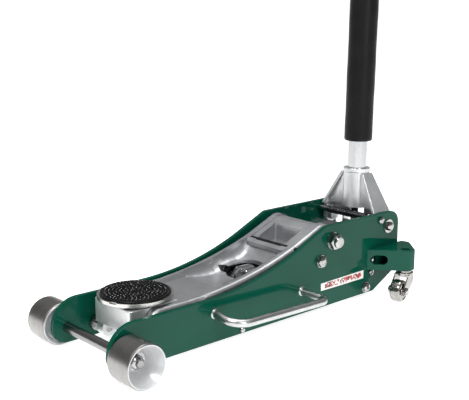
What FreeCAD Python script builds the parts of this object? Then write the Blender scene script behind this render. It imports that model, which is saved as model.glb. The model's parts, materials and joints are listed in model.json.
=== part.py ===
"""Low-profile aluminium trolley jack, 1.5 tonne class, as separate sub-parts.

Frame: +X forward (the saddle end), +Y to the jack's left, +Z up, millimetres.
Stations along X are measured from the front axle, and each part is moved forward by
ORIGIN_SHIFT when it is written, so that the origin lies on the ground under the middle
of the jack's length. Distances across are given as |Y|, the distance from the middle plane.
"""
import os

import FreeCAD
import Part
from math import cos, degrees, radians, sin, tan

V = FreeCAD.Vector

# ---------------------------------------------------------------- driving dimensions
ORIGIN_SHIFT = 287.0       # front axle to the middle of the length
RUNNING_GAP = 0.05         # radial clearance of a pin or shaft that turns in its bore
FIT_GAP = 0.03             # radial clearance of a fixed pin or bolt in its bore

WHEEL_R = 32.5             # front wheels
WHEEL_IN, WHEEL_OUT = 83.3, 131.5
AXLE_R, AXLE_NECK_R = 8.0, 6.0
AXLE_END = 117.0

PLATE_IN, PLATE_OUT = 69.6, 77.6
PLATE_TOP, PLATE_FRONT_TOP = 146.5, 76.0
PLATE_REAR_X = -591.0
NOSE_R, BROW_R = 24.0, 43.5
SWEEP_R = 510.0            # hollow top edge of the side plates
SWEEP_START_X = -140.0

ARM_PIVOT = (-418.0, 120.0)            # lift arm on the chassis
LINK_OFFSET = (28.0, -30.0)            # parallel link pivots from the arm's own pivots
SADDLE_PIVOT = (-77.0, 59.5)           # saddle bracket on the lift arm
LINK_REAR = (ARM_PIVOT[0] + LINK_OFFSET[0], ARM_PIVOT[1] + LINK_OFFSET[1])
LINK_FRONT = (SADDLE_PIVOT[0] + LINK_OFFSET[0], SADDLE_PIVOT[1] + LINK_OFFSET[1])
ARM_LIFT_DEG = 45.0

RAIL_IN, RAIL_FOOT, RAIL_OUT = 48.0, 44.0, 60.0
LUG_RADIUS = 58.0          # arm pivot to the drag link's pin
LUG_PIN = (ARM_PIVOT[0] - LUG_RADIUS * sin(radians(ARM_LIFT_DEG / 2)),
           ARM_PIVOT[1] - LUG_RADIUS * cos(radians(ARM_LIFT_DEG / 2)))
LUG_DROP = LUG_RADIUS * (1 - cos(radians(ARM_LIFT_DEG / 2)))
RAM_Z = LUG_PIN[1] - LUG_DROP / 2      # ram axis, midway through the lug pin's rise
CROSSHEAD_X = -294.0
CROSSHEAD_R = 21.0
CROSS_ROD = (-349.5, 113.0)            # thin rod across the arm's pocket
RAIL_HOLE = (-202.0, 72.5)             # blind hole outside each rail
BOWL_HOLE = (-264.0, -321.0, 25.0)     # opening over the ram: front X, rear X, |Y|

SADDLE_X = -75.5
SADDLE_R, PAD_R = 56.3, 53.0
SADDLE_BOTTOM, SADDLE_FLOOR, SADDLE_RIM, PAD_TOP = 80.0, 84.0, 87.5, 90.0

YOKE_PIVOT = (-562.5, 121.0)
HANDLE_LEAN_DEG = 1.36
TUBE_R, TUBE_BORE_R = 17.0, 14.5
SOCKET_R, SOCKET_LOW, SOCKET_TOP = 23.0, 145.0, 216.0
FOAM_R, FOAM_LOW, FOAM_TOP = 25.0, 264.0, 664.0
LOWER_TUBE_TOP, UPPER_TUBE_LOW, UPPER_TUBE_TOP = 690.0, 600.0, 1072.0
GRIP_LOW, GRIP_TOP, GRIP_R = 945.0, 1080.0, 18.0
YOKE_SWING_DEG = 75.0

ROLLER_ARM, ROLLER_R, ROLLER_Y = 20.0, 8.0, 22.0
ROLLER = (YOKE_PIVOT[0] - ROLLER_ARM * sin(radians(YOKE_SWING_DEG / 2)),
          YOKE_PIVOT[1] - ROLLER_ARM * cos(radians(YOKE_SWING_DEG / 2)))
PLUNGER_Z, PLUNGER_R = 103.0, 7.0
PLUNGER_FACE_X = ROLLER[0] + ROLLER_R + 1.0

BLOCK_REAR_X, BLOCK_FRONT_X, PUMP_REAR_X = -583.0, -470.0, -538.0
RESERVOIR_R, RESERVOIR_FRONT_X = 32.0, -352.0
FILLER = (-481.0, 101.0)   # oil filler, X and the height of its seat
BLOCK_BOLTS = (((-518.0, 46.0), 4.0), ((-505.0, 21.0), 5.0))      # centre and radius
BRACKET_BOLTS = ((-518.0, 69.5), (-583.0, 69.5))
BRACKET_BOLT_R = 4.0
TIE_ROD = (-217.0, 15.5)
TIE_ROD_R = 4.5

STOP_BAR = (-541.0, 134.5)
STEM = (-560.5, 119.0)     # caster swivel axis, X and |Y|
BRACKET_LOW, BRACKET_TOP, BRACKET_WALL = 51.5, 87.4, 3.0
CASTER_R, CASTER_TRAIL, CASTER_YAW_DEG = 19.0, 21.5, 12.0

LIFT_BAR_R = 6.0           # side handles, given by (X, |Y|, Z) corners
LIFT_BAR_CORNERS = ((-163.6, PLATE_OUT, 53.5), (-161.0, 126.0, 48.0),
                    (-355.0, 126.0, 43.0), (-347.8, PLATE_OUT, 48.0))
LIFT_BAR_BENDS = (28.0, 11.0)
LEFT, RIGHT = 1, -1


# ---------------------------------------------------------------- shared shapes
def box(x0, x1, y0, y1, z0, z1):
    """A box between two corners, given in any order."""
    xs, ys, zs = sorted((x0, x1)), sorted((y0, y1)), sorted((z0, z1))
    return Part.makeBox(xs[1] - xs[0], ys[1] - ys[0], zs[1] - zs[0], V(xs[0], ys[0], zs[0]))


def rod_y(centre, radius, y0, y1):
    """A cylinder across the jack at an (X, Z) centre."""
    low, high = sorted((y0, y1))
    return Part.makeCylinder(radius, high - low, V(centre[0], low, centre[1]), V(0, 1, 0))


def rod_x(x0, x1, y, z, radius):
    """A cylinder along the jack."""
    low, high = sorted((x0, x1))
    return Part.makeCylinder(radius, high - low, V(low, y, z), V(1, 0, 0))


def rod_z(x, y, z0, z1, radius):
    """An upright cylinder."""
    return Part.makeCylinder(radius, z1 - z0, V(x, y, z0), V(0, 0, 1))


def hexagon_y(centre, across_flats, y0, y1):
    """A hexagonal nut or bolt head across the jack, with a flat at the bottom."""
    low, high = sorted((y0, y1))
    corner = across_flats / 2 / cos(radians(30))
    points = [V(centre[0] + corner * cos(radians(a)), low, centre[1] + corner * sin(radians(a)))
              for a in range(0, 361, 60)]
    prism = Part.Face(Part.makePolygon(points)).extrude(V(0, high - low, 0))
    dome = Part.makeSphere(corner * 1.9, V(centre[0], (low + high) / 2, centre[1]))
    reach = corner * 1.9 - (high - low) / 2 - across_flats * 0.02
    away = -1 if abs(low) > abs(high) else 1
    dome.translate(V(0, -away * reach, 0))
    return prism.common(dome)


def arc_point(centre, radius, angle_deg):
    """The point of a circle in the XZ plane, with the angle from +X towards +Z."""
    return (centre[0] + radius * cos(radians(angle_deg)),
            centre[1] + radius * sin(radians(angle_deg)))


def outline_xz(start, *steps):
    """A face in the XZ plane. A step is one point for a line, or two for an arc."""
    here, edges = start, []
    for step in steps:
        a = V(here[0], 0, here[1])
        if len(step) == 2 and isinstance(step[0], tuple):
            mid, end = step
            edges.append(Part.Arc(a, V(mid[0], 0, mid[1]), V(end[0], 0, end[1])).toShape())
            here = end
        else:
            edges.append(Part.makeLine(a, V(step[0], 0, step[1])))
            here = step
    return Part.Face(Part.Wire(edges))


def slab(face, y0, y1):
    """An XZ face made solid between two Y planes."""
    low, high = sorted((y0, y1))
    moved = face.copy()
    moved.translate(V(0, low, 0))
    return moved.extrude(V(0, high - low, 0))


def hull_xz(c1, r1, c2, r2):
    """The face round two circles and the two lines that touch both."""
    dx, dz = c2[0] - c1[0], c2[1] - c1[1]
    length = (dx * dx + dz * dz) ** 0.5
    along = V(dx / length, 0, dz / length)
    side = V(-along.z, 0, along.x)
    lean = (r1 - r2) / length
    rise = (1 - lean * lean) ** 0.5
    corners = []
    for centre, radius in ((c1, r1), (c2, r2)):
        middle = V(centre[0], 0, centre[1])
        corners.append((middle + (side * rise + along * lean) * radius,
                        middle + (side * -rise + along * lean) * radius))
    end1 = V(c1[0], 0, c1[1]) - along * r1
    end2 = V(c2[0], 0, c2[1]) + along * r2
    edges = [Part.Arc(corners[0][0], end1, corners[0][1]).toShape(),
             Part.makeLine(corners[0][1], corners[1][1]),
             Part.Arc(corners[1][1], end2, corners[1][0]).toShape(),
             Part.makeLine(corners[1][0], corners[0][0])]
    return Part.Face(Part.Wire(edges))


def revolved(points, base, axis):
    """A turned part: (distance along, radius) points about an axis through base."""
    across = V(1, 0, 0) if abs(axis.x) < 0.5 else V(0, 1, 0)
    ring = [base + axis * a + across * r for a, r in points]
    return Part.Face(Part.makePolygon(ring + ring[:1])).revolve(base, axis, 360)


def mirrored(shape):
    """The right-hand copy of a left-hand part."""
    return shape.mirror(V(0, 0, 0), V(0, 1, 0))


def both_sides(shape):
    """A left-hand part and its right-hand copy, as separate solids."""
    return [shape, mirrored(shape)]


def joined(first, *others):
    """One solid from several that touch."""
    return first.fuse(list(others)).removeSplitter()


def rounded(shape, radius, wanted):
    """The shape with the edges that wanted(edge) picks out rounded."""
    edges = [e for e in shape.Edges if wanted(e)]
    return shape.makeFillet(radius, edges) if edges else shape


def coil_x(x0, x1, y, z, mean_r, wire_r, turns):
    """A helical spring along X."""
    helix = Part.makeHelix((x1 - x0) / turns, x1 - x0, mean_r)
    section = Part.Wire(Part.makeCircle(wire_r, V(mean_r, 0, 0), V(0, 1, 0)))
    spring = Part.Wire(helix.Edges).makePipeShell([section], True, True)
    spring.rotate(V(0, 0, 0), V(0, 1, 0), 90)
    spring.translate(V(x0, y, z))
    return spring


def leaned(shape):
    """A yoke or handle part, drawn upright, tipped back about the yoke's pivot."""
    shape.rotate(V(YOKE_PIVOT[0], 0, YOKE_PIVOT[1]), V(0, 1, 0), -HANDLE_LEAN_DEG)
    return shape


def on_caster(shape, side):
    """A caster part, drawn about its stem with the wheel trailing to +X, in its place."""
    shape.rotate(V(0, 0, 0), V(0, 0, 1), CASTER_YAW_DEG)
    shape.translate(V(STEM[0], STEM[1], 0))
    return shape if side == LEFT else mirrored(shape)


# ---------------------------------------------------------------- chassis
def side_plate(side):
    brow = (NOSE_R - BROW_R, WHEEL_R)
    sweep_centre = (SWEEP_START_X, PLATE_FRONT_TOP + SWEEP_R)
    sweep_end_deg = -90 - 24.3
    sweep_mid = arc_point(sweep_centre, SWEEP_R, (-90 + sweep_end_deg) / 2)
    sweep_end = arc_point(sweep_centre, SWEEP_R, sweep_end_deg)
    shoulder_x = sweep_end[0] - (PLATE_TOP - sweep_end[1]) / tan(radians(24.3))
    rear_r = 22.0
    rear = (PLATE_REAR_X + rear_r, PLATE_TOP - rear_r)
    face = outline_xz(
        (0, WHEEL_R - NOSE_R),
        (arc_point((0, WHEEL_R), NOSE_R, -45), (NOSE_R, WHEEL_R)),
        (arc_point(brow, BROW_R, 45), (brow[0], PLATE_FRONT_TOP)),
        (SWEEP_START_X, PLATE_FRONT_TOP),
        (sweep_mid, sweep_end),
        (shoulder_x, PLATE_TOP),
        (rear[0], PLATE_TOP),
        (arc_point(rear, rear_r, 135), (PLATE_REAR_X, rear[1])),
        (PLATE_REAR_X, 43.0),
        (-526.0, 10.0),
        (0, WHEEL_R - NOSE_R))
    plate = slab(face, PLATE_IN, PLATE_OUT)
    corner = [e for e in plate.Edges if len(e.Vertexes) == 2
              and all(abs(v.X - shoulder_x) < 0.1 for v in e.Vertexes)]
    plate = plate.makeFillet(14.0, corner)
    plate = rounded(plate, 0.8, lambda e: all(abs(v.Y - PLATE_OUT) < 0.01 for v in e.Vertexes))
    holes = [((0, WHEEL_R), AXLE_R), (ARM_PIVOT, 10.0), (LINK_REAR, 6.0), (YOKE_PIVOT, 8.0),
             (STOP_BAR, 4.5), (TIE_ROD, TIE_ROD_R)]
    holes += list(BLOCK_BOLTS) + [(centre, BRACKET_BOLT_R) for centre in BRACKET_BOLTS]
    for centre, radius in holes:
        plate = plate.cut(rod_y(centre, radius + FIT_GAP, PLATE_IN - 1, PLATE_OUT + 1))
    return plate if side == LEFT else mirrored(plate)


def front_axle():
    axle = rod_y((0, WHEEL_R), AXLE_R, -WHEEL_IN + 0.3, WHEEL_IN - 0.3)
    ends = rod_y((0, WHEEL_R), AXLE_NECK_R, -AXLE_END, AXLE_END)
    axle = joined(axle, ends)
    tips = [e for e in axle.Edges if abs(abs(e.BoundBox.YMin) - AXLE_END) < 0.01
            and e.BoundBox.YLength < 0.01]
    return [axle.makeChamfer(1.0, tips)]


def axle_nuts():
    nut = hexagon_y((0, WHEEL_R), 18.0, 106.6, 114.0)
    return both_sides(nut.cut(rod_y((0, WHEEL_R), AXLE_NECK_R + FIT_GAP, 100, 120)))


def axle_washers():
    washer = rod_y((0, WHEEL_R), 11.5, 105.1, 106.6)
    return both_sides(washer.cut(rod_y((0, WHEEL_R), AXLE_NECK_R + FIT_GAP, 100, 120)))


def front_wheel(side):
    """A turned steel wheel, dished deeply outside and lightly inside."""
    bore = AXLE_NECK_R + RUNNING_GAP
    profile = [(WHEEL_IN, bore), (WHEEL_IN, 14.0), (WHEEL_IN + 6, 14.5), (WHEEL_IN + 8, 16.0),
               (WHEEL_IN + 8, 24.0), (WHEEL_IN + 1, 28.5), (WHEEL_IN + 0.4, 30.0),
               (WHEEL_IN + 1.6, 31.8), (WHEEL_IN + 3.2, WHEEL_R),
               (WHEEL_OUT - 3.0, WHEEL_R), (WHEEL_OUT - 1.2, 32.0), (WHEEL_OUT, 30.8),
               (WHEEL_OUT - 0.2, 29.4), (WHEEL_OUT - 3.0, 28.2), (109.0, 17.5),
               (105.6, 15.0), (104.8, 13.0), (104.8, bore)]
    wheel = revolved(profile, V(0, 0, WHEEL_R), V(0, 1, 0))
    return wheel if side == LEFT else mirrored(wheel)


def arm_pivot_shaft():
    shaft = rod_y(ARM_PIVOT, 10.0, -95, 95)
    tips = [e for e in shaft.Edges if e.BoundBox.YLength < 0.01]
    return [shaft.makeChamfer(1.5, tips)]


def arm_pivot_nuts():
    nut = hexagon_y(ARM_PIVOT, 24.0, 79.6, 91.0)
    return both_sides(nut.cut(rod_y(ARM_PIVOT, 10.0 + FIT_GAP, 70, 100)))


def arm_pivot_washers():
    washer = rod_y(ARM_PIVOT, 14.2, PLATE_OUT + 0.05, 79.5)
    return both_sides(washer.cut(rod_y(ARM_PIVOT, 10.0 + FIT_GAP, 70, 100)))


def arm_pivot_spacers():
    ring = rod_y(ARM_PIVOT, 15.0, RAIL_OUT + 0.4, PLATE_IN - 0.1)
    return both_sides(ring.cut(rod_y(ARM_PIVOT, 10.0 + FIT_GAP, 50, 80)))


def link_anchor_bolts():
    shank = rod_y(LINK_REAR, 6.0, RAIL_OUT + 1.0, PLATE_OUT)
    collar = rod_y(LINK_REAR, 10.5, PLATE_OUT, PLATE_OUT + 1.8)
    head = hexagon_y(LINK_REAR, 17.0, PLATE_OUT + 1.8, PLATE_OUT + 8.5)
    return both_sides(joined(shank, collar, head))


def yoke_pivot_bolts():
    shank = rod_y(YOKE_PIVOT, 8.0, 47.0, PLATE_OUT + 2.0)
    head = hexagon_y(YOKE_PIVOT, 14.0, PLATE_OUT + 2.0, PLATE_OUT + 8.0)
    return both_sides(joined(shank, head))


def yoke_pivot_washers():
    """A thick washer outside each side plate, and a spacer between plate and yoke."""
    outer = rod_y(YOKE_PIVOT, 12.0, PLATE_OUT + 0.05, PLATE_OUT + 1.95)
    inner = rod_y(YOKE_PIVOT, 13.0, 62.9, PLATE_IN - 0.1)
    bore = rod_y(YOKE_PIVOT, 8.0 + FIT_GAP, 50, 90)
    return both_sides(outer.cut(bore)) + both_sides(inner.cut(bore))


def yoke_stop_bar():
    bar = rod_y(STOP_BAR, 4.5, -PLATE_OUT, PLATE_OUT)
    head = hexagon_y(STOP_BAR, 12.0, PLATE_OUT, PLATE_OUT + 5.0)
    return [joined(bar, head, mirrored(head))]


def yoke_return_spring():
    """The close-wound spring on the stop bar."""
    spring = coil_x(-46.0, 46.0, 0, 0, 5.6, 0.95, 36)
    spring.rotate(V(0, 0, 0), V(0, 0, 1), 90)
    spring.translate(V(STOP_BAR[0], 0, STOP_BAR[1]))
    return [spring]


def chassis_bolts():
    """The bolts that hold the pump block and the caster brackets to the side plates."""
    shapes = []
    (small, small_r), (large, large_r) = BLOCK_BOLTS
    shank = rod_y(small, small_r, 56.0, PLATE_OUT)
    shapes += both_sides(joined(shank, hexagon_y(small, 10.5, PLATE_OUT, PLATE_OUT + 4.5)))
    shank = rod_y(large, large_r, 56.0, PLATE_OUT)
    collar = rod_y(large, 9.5, PLATE_OUT, PLATE_OUT + 1.6)
    head = hexagon_y(large, 13.5, PLATE_OUT + 1.6, PLATE_OUT + 7.0)
    shapes += both_sides(joined(shank, collar, head))
    seat = PLATE_OUT + BRACKET_WALL
    for centre in BRACKET_BOLTS:
        shank = rod_y(centre, BRACKET_BOLT_R, PLATE_IN, seat)
        shapes += both_sides(joined(shank, hexagon_y(centre, 9.0, seat, seat + 4.5)))
    return shapes


def front_tie_rod():
    rod = rod_y(TIE_ROD, TIE_ROD_R, -PLATE_OUT - 4, PLATE_OUT + 4)
    return [rod.makeFillet(3.0, [e for e in rod.Edges if e.BoundBox.YLength < 0.01])]


def bend(before, corner, after, radius):
    """The centre of a round bend, and where it leaves one leg and joins the next."""
    a, b = (before - corner).normalize(), (after - corner).normalize()
    half = a.getAngle(b) / 2
    setback = radius / tan(half)
    return corner + (a + b).normalize() * (radius / sin(half)), corner + a * setback, corner + b * setback


def round_leg(start, end):
    """A straight length of the side handles' round bar."""
    return Part.makeCylinder(LIFT_BAR_R, (end - start).Length, start, end - start)


def round_bend(centre, start, end):
    """A quarter-ring of the same bar, turned about the bend's centre."""
    axis = (start - centre).cross(end - centre)
    face = Part.Face(Part.Wire(Part.makeCircle(LIFT_BAR_R, start, axis.cross(start - centre))))
    return face.revolve(centre, axis, degrees((start - centre).getAngle(end - centre)))


def side_handle(side):
    """A round bar bent to a grab handle, with a wide front corner and a tight rear one."""
    front, front_corner, rear_corner, rear = (V(*c) for c in LIFT_BAR_CORNERS)
    wide = bend(front, front_corner, rear_corner, LIFT_BAR_BENDS[0])
    tight = bend(front_corner, rear_corner, rear, LIFT_BAR_BENDS[1])
    start = front + (front - front_corner).normalize() * 6
    end = rear + (rear - rear_corner).normalize() * 6
    legs = [round_leg(*ends) for ends in ((start, wide[1]), (wide[2], tight[1]), (tight[2], end))]
    bar = joined(*legs, round_bend(*wide), round_bend(*tight))
    bar = bar.cut(box(front.x + 30, rear.x - 30, PLATE_OUT - 20, PLATE_OUT, 20, 80))
    weld = [Part.makeCone(8.0, 4.0, 4.0, root, V(0, 1, 0)) for root in (front, rear)]
    bar = joined(bar, *weld)
    return bar if side == LEFT else mirrored(bar)


def side_labels():
    """A plain decal on each side plate."""
    points = [V(-392, PLATE_OUT, 38.5), V(-499, PLATE_OUT, 38.5), V(-499, PLATE_OUT, 53.0),
              V(-392, PLATE_OUT, 51.0), V(-392, PLATE_OUT, 38.5)]
    return both_sides(Part.Face(Part.makePolygon(points)).extrude(V(0, 0.4, 0)))


# ---------------------------------------------------------------- caster brackets and casters
def caster_bracket(side):
    """A hollow wing casting outside the side plate, open at the top over the stem."""
    front, tip = V(-509.4, PLATE_OUT, 0), V(-557, 131, 0)
    points = [front, tip, V(-572, 131, 0), V(-606, 92, 0), V(-603, PLATE_OUT, 0), front]
    face = Part.Face(Part.makePolygon(points))
    height, floor = BRACKET_TOP - BRACKET_LOW, 6.0
    body = face.extrude(V(0, 0, height))
    body.translate(V(0, 0, BRACKET_LOW))
    corners = [e for e in body.Edges if e.BoundBox.ZLength > 30 and e.BoundBox.YMin > 85]
    body = body.makeFillet(7.0, corners)
    rim = [e for e in body.Edges if abs(e.BoundBox.ZMin - BRACKET_TOP) < 0.01
           and e.BoundBox.YMax > PLATE_OUT + 1]
    body = body.makeFillet(1.5, rim)
    hollow = face.makeOffset2D(-BRACKET_WALL).extrude(V(0, 0, height - 2 * floor))
    hollow.translate(V(0, 0, BRACKET_LOW + floor))
    body = body.cut(hollow)
    body = body.cut(rod_z(STEM[0], STEM[1], BRACKET_TOP - floor - 1, BRACKET_TOP + 1, 8.0))
    body = body.cut(rod_z(STEM[0], STEM[1], BRACKET_LOW - 1, BRACKET_LOW + floor + 1,
                          4.5 + RUNNING_GAP))
    for centre in BRACKET_BOLTS:
        body = body.cut(rod_y(centre, BRACKET_BOLT_R + FIT_GAP, PLATE_OUT - 1,
                              PLATE_OUT + BRACKET_WALL + 1))
    body = body.cut(rod_y(BRACKET_BOLTS[0], 6.0, PLATE_OUT + BRACKET_WALL, PLATE_OUT + 25))
    along = (tip - front).normalize()
    inward = V(along.y, -along.x, 0) * -1
    middle = V(front.x, front.y, BRACKET_BOLTS[0][1]) + along * 20.5
    ends = [middle + along * a - inward * 5 for a in (-6.0, 6.0)]
    window_r, depth = 8.3, 12.0
    slot = [Part.makeCylinder(window_r, depth, end, inward) for end in ends]
    rise = V(0, 0, window_r)
    side_wall = Part.makePolygon([ends[0] + rise, ends[1] + rise, ends[1] - rise,
                                  ends[0] - rise, ends[0] + rise])
    body = body.cut(joined(Part.Face(side_wall).extrude(inward * depth), *slot))
    return body if side == LEFT else mirrored(body)


def caster_fork(side):
    """Swivel plate, two cheeks and the riveted stem."""
    swivel = rod_z(0, 0, 43.0, 47.5, 15.0).fuse(rod_z(0, 0, 47.5, BRACKET_LOW - 0.3, 12.0))
    stem = rod_z(0, 0, 44.0, 60.0, 4.5)
    rivet = rod_z(0, 0, BRACKET_LOW + 6.3, BRACKET_LOW + 11, 6.4)
    rivet = rivet.makeFillet(2.0, [e for e in rivet.Edges
                                   if abs(e.BoundBox.ZMin - BRACKET_LOW - 11) < 0.01])
    cheek_face = hull_xz((4.0, 36.5), 10.5, (CASTER_TRAIL, CASTER_R), 8.5)
    cheek = slab(cheek_face, 10.8, 13.6)
    crown = box(-8, 14, -13.6, 13.6, 41.5, 45.0)
    cheeks = [cheek, mirrored(cheek)]
    bore = rod_y((CASTER_TRAIL, CASTER_R), 4.0 + FIT_GAP, -20, 20)
    fork = joined(swivel, stem, rivet, crown, *cheeks).cut(bore)
    return on_caster(fork, side)


def caster_wheel(side):
    """A small turned steel wheel with a hub groove."""
    bore = 4.0 + RUNNING_GAP
    half = [(10.4, bore), (10.4, 7.0), (9.2, 8.0), (8.6, 13.7), (9.6, 16.2), (7.4, 18.4),
            (5.0, CASTER_R)]
    profile = half + [(-a, r) for a, r in reversed(half)]
    return on_caster(revolved(profile, V(CASTER_TRAIL, 0, CASTER_R), V(0, 1, 0)), side)


def caster_axle(side):
    centre = (CASTER_TRAIL, CASTER_R)
    pin = rod_y(centre, 4.0, -16.5, 16.5)
    heads = [hexagon_y(centre, 11.0, 13.65, 18.5), hexagon_y(centre, 11.0, -13.65, -18.5)]
    return on_caster(joined(pin, *heads), side)


# ---------------------------------------------------------------- hydraulic unit
def pump_block():
    face = outline_xz(
        (BLOCK_REAR_X, 50), (BLOCK_REAR_X, 84), (-543, 84), (PUMP_REAR_X, 89),
        (PUMP_REAR_X, 116), (-508, 116), (-492, 101), (BLOCK_FRONT_X, 101),
        (BLOCK_FRONT_X, 28), (-540, 28), (BLOCK_REAR_X, 50))
    body = slab(face, -38, 38)
    feet = box(-532, -492, -PLATE_IN + 0.1, PLATE_IN - 0.1, 14, 56)
    body = body.fuse(feet).removeSplitter()
    body = rounded(body, 3.0, lambda e: abs(e.BoundBox.ZMin - 116) < 0.01)
    for y in (-ROLLER_Y, ROLLER_Y):
        body = body.cut(rod_x(PUMP_REAR_X - 1, -478, y, PLUNGER_Z, PLUNGER_R + RUNNING_GAP))
        body = body.cut(rod_x(PUMP_REAR_X - 1, PUMP_REAR_X + 22, y, PLUNGER_Z, 10.2))
    body = body.cut(rod_z(YOKE_PIVOT[0], 0, 58, 90, 5.0 + RUNNING_GAP))
    body = body.cut(rod_z(FILLER[0], 0, FILLER[1] - 7, FILLER[1] + 1, 5.0 + FIT_GAP))
    for side in (LEFT, RIGHT):
        for centre, radius in BLOCK_BOLTS:
            body = body.cut(rod_y(centre, radius + FIT_GAP, side * 55, side * 75))
    body = body.cut(rod_x(BLOCK_FRONT_X - 8, BLOCK_FRONT_X + 1, 0, RAM_Z, 19.0 + FIT_GAP))
    return [body]


def reservoir_tube():
    tube = rod_x(BLOCK_FRONT_X, RESERVOIR_FRONT_X, 0, RAM_Z, RESERVOIR_R)
    return [tube.cut(rod_x(BLOCK_FRONT_X - 1, RESERVOIR_FRONT_X + 1, 0, RAM_Z, 29.0))]


def ram_cylinder():
    tube = rod_x(BLOCK_FRONT_X - 7.9, RESERVOIR_FRONT_X - 0.1, 0, RAM_Z, 19.0)
    return [tube.cut(rod_x(BLOCK_FRONT_X, RESERVOIR_FRONT_X + 1, 0, RAM_Z, 13.0 + RUNNING_GAP))]


def gland_nut():
    nut = rod_x(RESERVOIR_FRONT_X, RESERVOIR_FRONT_X + 9, 0, RAM_Z, RESERVOIR_R)
    nut = nut.makeChamfer(3.0, [e for e in nut.Edges
                                if abs(e.BoundBox.XMin - RESERVOIR_FRONT_X - 9) < 0.01])
    return [nut.cut(rod_x(RESERVOIR_FRONT_X - 1, RESERVOIR_FRONT_X + 10, 0, RAM_Z,
                          13.0 + RUNNING_GAP))]


def oil_filler_plug():
    x, seat = FILLER
    shank = rod_z(x, 0, seat - 6, seat, 5.0)
    head = rod_z(x, 0, seat, seat + 5, 8.0)
    head = head.makeChamfer(1.0, [e for e in head.Edges
                                  if abs(e.BoundBox.ZMin - seat - 5) < 0.01])
    return [joined(shank, head)]


def pump_springs():
    x0, x1 = PLUNGER_FACE_X + 3.2, PUMP_REAR_X + 21.8
    return [coil_x(x0 + 1.1, x1 - 1.1, y, PLUNGER_Z, 8.6, 1.05, 9)
            for y in (-ROLLER_Y, ROLLER_Y)]


def pump_plungers():
    shapes = []
    for y in (-ROLLER_Y, ROLLER_Y):
        head = rod_x(PLUNGER_FACE_X, PLUNGER_FACE_X + 3, y, PLUNGER_Z, 9.8)
        shapes.append(joined(head, rod_x(PLUNGER_FACE_X, -505, y, PLUNGER_Z, PLUNGER_R)))
    return shapes


def ram_rod():
    rod = rod_x(-460, CROSSHEAD_X - 11, 0, RAM_Z, 13.0)
    return [rod.makeChamfer(1.5, [e for e in rod.Edges if abs(e.BoundBox.XMax + 460) < 0.01])]


def crosshead():
    """The ram's round head: a bright ring, a dark groove and a bright centre in front."""
    head = rod_x(CROSSHEAD_X - 11, CROSSHEAD_X + 11, 0, RAM_Z, CROSSHEAD_R)
    head = head.makeChamfer(1.2, [e for e in head.Edges
                                  if abs(e.BoundBox.XMin - CROSSHEAD_X - 11) < 0.01])
    groove = rod_x(CROSSHEAD_X + 7, CROSSHEAD_X + 12, 0, RAM_Z, 16.0)
    groove = groove.cut(rod_x(CROSSHEAD_X + 6, CROSSHEAD_X + 13, 0, RAM_Z, 11.5))
    head = head.cut(groove)
    return [head.cut(rod_y((CROSSHEAD_X, RAM_Z), 6.0 + FIT_GAP, -23, 23))]


def crosshead_pin():
    pin = rod_y((CROSSHEAD_X, RAM_Z), 6.0, -43, 43)
    return [pin.makeChamfer(0.8, [e for e in pin.Edges if e.BoundBox.YLength < 0.01])]


def drag_links():
    """Two bars that pull the arm's lugs forward when the ram comes out."""
    front = (CROSSHEAD_X, LUG_PIN[1])
    bar = slab(hull_xz(LUG_PIN, 11.5, front, 12.5), 34.5, 41.0)
    bar = bar.cut(rod_y(LUG_PIN, 7.0 + RUNNING_GAP, 30, 45))
    reach = LUG_DROP / 2 + 0.3
    slot = slab(hull_xz((front[0], front[1] - reach), 6.35, (front[0], front[1] + reach), 6.35),
                30, 45)
    return both_sides(bar.cut(slot))


# ---------------------------------------------------------------- lift arm
def rail_face():
    nose = SADDLE_PIVOT
    return outline_xz(
        (nose[0], nose[1] - 17.5),
        ((nose[0] + 17.5, nose[1]), (nose[0], nose[1] + 17.0)),
        (-130, 76.5),
        ((-240, 88.3), (-350, 118.0)),
        (-408, 142.5),
        (arc_point(ARM_PIVOT, 24, 95), arc_point(ARM_PIVOT, 24, 180)),
        (LUG_PIN[0] - 14.0, LUG_PIN[1]),
        (arc_point(LUG_PIN, 14, 225), arc_point(LUG_PIN, 14, 270)),
        (-400, 62),
        (-290, 45),
        (nose[0], nose[1] - 17.5))


def bowl_space():
    """The room inside the arm's bowl: round-bottomed, deepest ahead of the ram."""
    sections = []
    for x, low, corner_r in ((-203.5, 73.4, 8.0), (-218.0, 70.4, 12.5), (-235.0, 68.6, 16.5),
                             (-250.0, 68.3, 19.0), (-262.0, 69.5, 19.5), (-272.0, 74.5, 18.0),
                             (-281.0, 81.0, 14.5), (-292.0, 82.8, 15.0), (-308.0, 83.4, 17.5),
                             (-320.0, 86.5, 18.0), (-331.0, 92.5, 15.5), (-341.0, 101.0, 10.5)):
        flat, top = RAIL_IN - 0.2 - corner_r, low + corner_r
        turn = corner_r * cos(radians(45))
        left, right = V(x, -flat, top), V(x, flat, top)
        down = V(0, 0, -corner_r)
        lift = V(0, 0, 40)
        out = V(0, corner_r, 0)
        sections.append(Part.Wire([
            Part.makeLine(left - out + lift, left - out),
            Part.Arc(left - out, left + V(0, -turn, -turn), left + down).toShape(),
            Part.makeLine(left + down, right + down),
            Part.Arc(right + down, right + V(0, turn, -turn), right + out).toShape(),
            Part.makeLine(right + out, right + out + lift),
            Part.makeLine(right + out + lift, left - out + lift)]))
    return Part.makeLoft(sections, True, True)


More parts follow.
